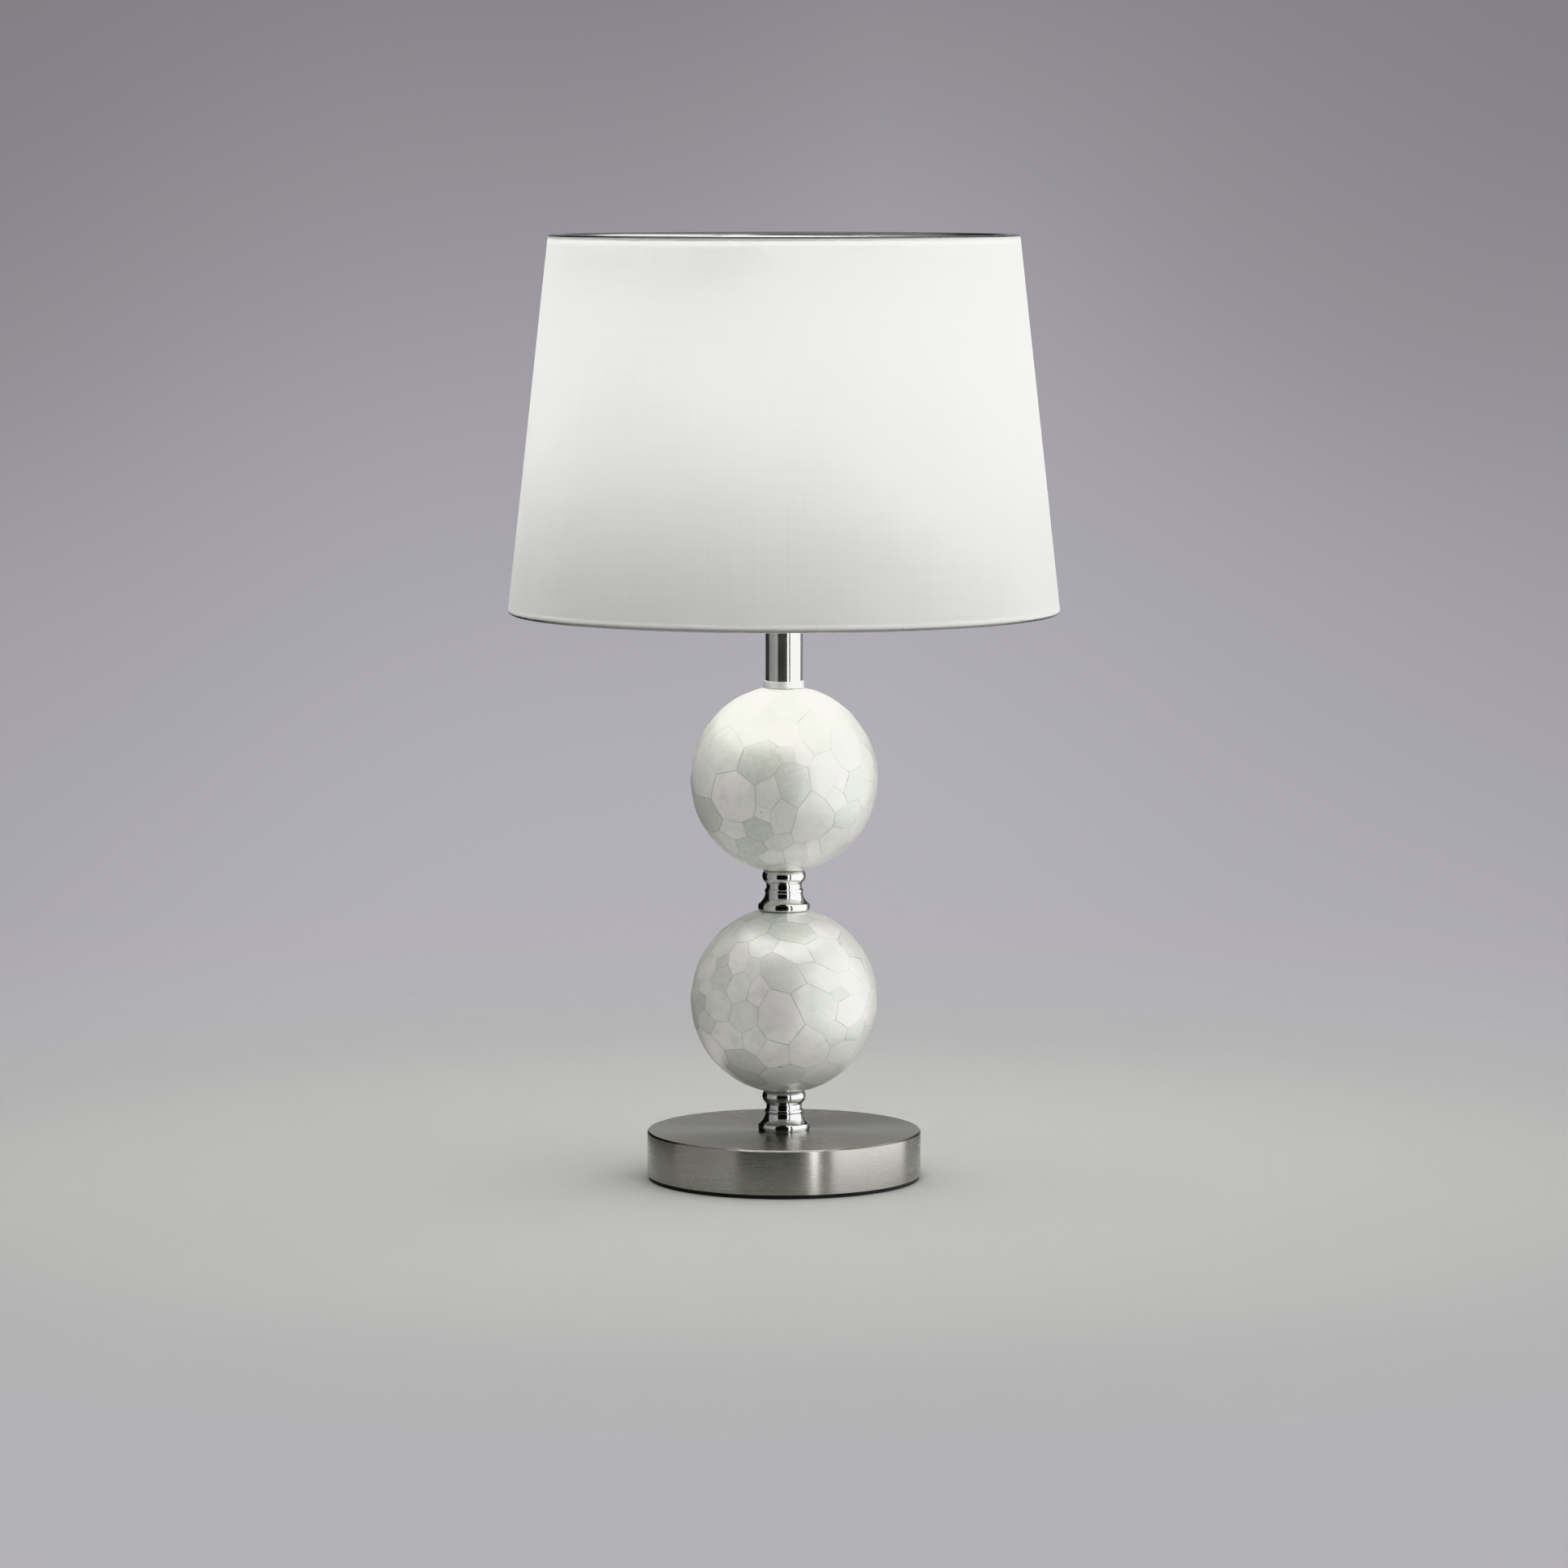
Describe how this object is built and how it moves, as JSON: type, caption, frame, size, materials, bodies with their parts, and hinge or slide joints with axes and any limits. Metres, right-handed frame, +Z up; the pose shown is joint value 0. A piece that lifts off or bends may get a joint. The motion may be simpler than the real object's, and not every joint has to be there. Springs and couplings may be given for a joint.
{
  "type": "table lamp",
  "caption": "Table lamp: pearly shell-covered balls between turned chrome collars on a round brushed base, with a white tapered drum shade.",
  "frame": {"origin": "centre of the base's underside, on the surface that the lamp stands on", "axes": "+Z up the column, +Y towards the cord inlet at the back, +X to the right seen from the front"},
  "size_m": [0.3, 0.3, 0.5155],
  "materials": {
    "black_foam": "matt closed-cell foam",
    "black_steel": "black powder coat",
    "zinc_steel": "bright zinc plated",
    "brushed_nickel": "satin, fine turning marks",
    "cast_weight": "as cast",
    "black_rubber": "matt",
    "black_plastic": "moulded",
    "polished_chrome": "polished",
    "cast_resin": "cast resin",
    "capiz_shell": "pearly shell chips, polished and lacquered",
    "white_holder_plastic": "moulded",
    "white_ceramic": "unglazed",
    "contact_brass": "stamped",
    "white_enamel": "white powder coat",
    "shade_cloth": "smooth off-white plain weave",
    "lining_film": "translucent film",
    "bulb_nickel": "nickel plated",
    "white_bulb_plastic": "moulded",
    "board_aluminium": "printed board",
    "board_laminate": "glass laminate",
    "opal_plastic": "opal diffuser"
  },
  "bodies": {
    "lamp": {"base_pad": "black_foam", "bottom_plate": "black_steel", "bottom_plate_screws": "zinc_steel", "base_shell": "brushed_nickel", "base_weight": "cast_weight", "cord_grommet": "black_rubber", "threaded_rod": "zinc_steel", "rod_washer": "zinc_steel", "spring_washer": "zinc_steel", "rod_nut": "zinc_steel", "rod_end_bush": "black_plastic", "lower_collar": "polished_chrome", "lower_ball_core": "cast_resin", "middle_collar": "polished_chrome", "upper_ball_core": "cast_resin", "lower_ball_shell": "capiz_shell", "upper_ball_shell": "capiz_shell", "neck_ring": "polished_chrome", "neck_tube": "polished_chrome", "neck_cap": "polished_chrome", "neck_lock_nut": "zinc_steel", "holder_cap": "white_holder_plastic", "holder_cap_screw": "zinc_steel", "holder_body": "white_holder_plastic", "contact_block": "white_ceramic", "centre_contact": "contact_brass", "side_contact": "contact_brass", "terminal_screws": "contact_brass"},
    "shade": {"shade_carrier": "white_enamel", "shade_bottom_ring": "white_enamel", "shade_top_ring": "white_enamel", "shade_fabric": "shade_cloth", "shade_lining": "lining_film", "shade_arm_rear": "white_enamel", "shade_arm_left": "white_enamel", "shade_arm_right": "white_enamel"},
    "clamp_ring": {"shade_clamp_ring": "white_holder_plastic"},
    "bulb": {"bulb_contact": "zinc_steel", "bulb_insulator": "black_plastic", "bulb_cap": "bulb_nickel", "bulb_housing": "white_bulb_plastic", "bulb_board": "board_aluminium", "bulb_driver": "board_laminate", "bulb_globe": "opal_plastic"}
  },
  "joints": [
    {"name": "shade_turn", "type": "hinge", "parent": "lamp", "child": "shade", "pos_m": [0, 0, 0.34128], "axis": [0, 0, 1], "continuous": true},
    {"name": "clamp_ring_rise", "type": "slide", "parent": "lamp", "child": "clamp_ring", "axis": [0, 0, 1], "range_m": [0, 0.024]},
    {"name": "bulb_lift", "type": "slide", "parent": "lamp", "child": "bulb", "axis": [0, 0, 1], "range_m": [0, 0.175]}
  ]
}
